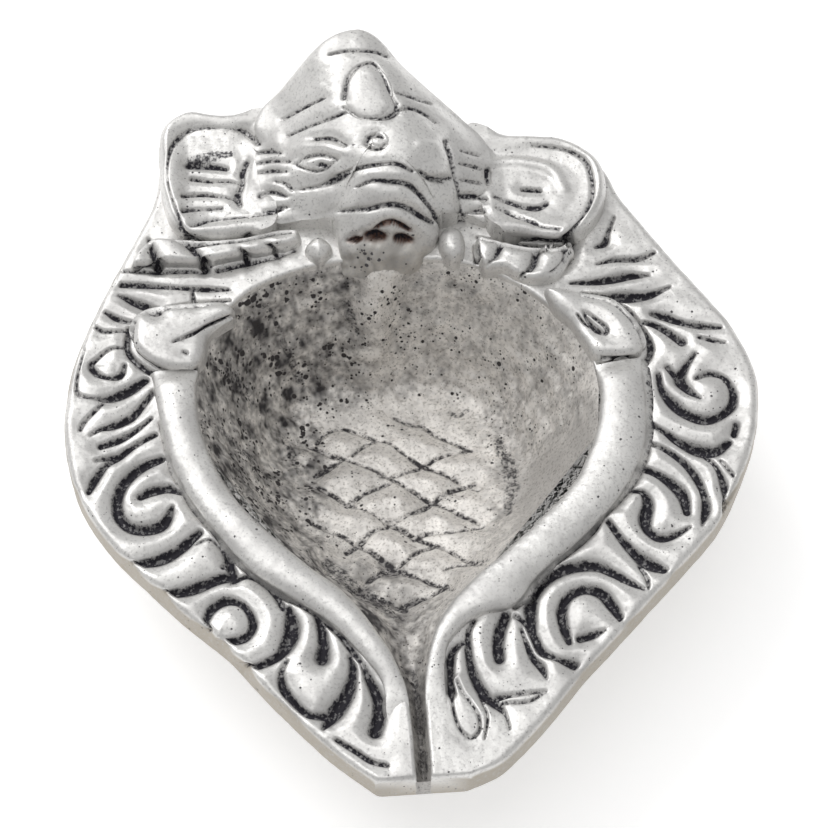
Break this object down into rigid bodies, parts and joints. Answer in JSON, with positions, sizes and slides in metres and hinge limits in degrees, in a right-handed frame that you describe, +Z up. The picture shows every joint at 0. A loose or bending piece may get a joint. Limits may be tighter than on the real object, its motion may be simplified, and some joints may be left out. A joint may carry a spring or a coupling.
{
  "type": "cast oil lamp",
  "caption": "Small leaf-shaped cast oil lamp with a scrolled border, a deep oil well running out to a wick spout, and an elephant's head with ears and trunk over its back.",
  "frame": {"origin": "centre of the flat foot under the oil well, on the table", "axes": "+Z up, the wick spout towards -Y, the elephant's head towards +Y, +X to the lamp's right as it faces the user"},
  "size_m": [0.0768, 0.088, 0.0314],
  "materials": {
    "silver_metal": "cast white metal, hand polished, with dark oxide left in the grooves",
    "dull_metal": "rough unpolished casting, mottled grey, inside the well and underneath"
  },
  "bodies": {
    "root": {"oil_well": "dull_metal", "border_plate": "silver_metal", "left_lip": "silver_metal", "right_lip": "silver_metal", "left_volute": "silver_metal", "right_volute": "silver_metal", "elephant_head": "silver_metal", "crown": "silver_metal", "crown_jewel": "silver_metal", "forehead_mark": "silver_metal", "trunk": "silver_metal", "left_ear": "silver_metal", "right_ear": "silver_metal", "left_collar": "silver_metal", "right_collar": "silver_metal", "left_bead": "silver_metal", "right_bead": "silver_metal"}
  },
  "joints": []
}
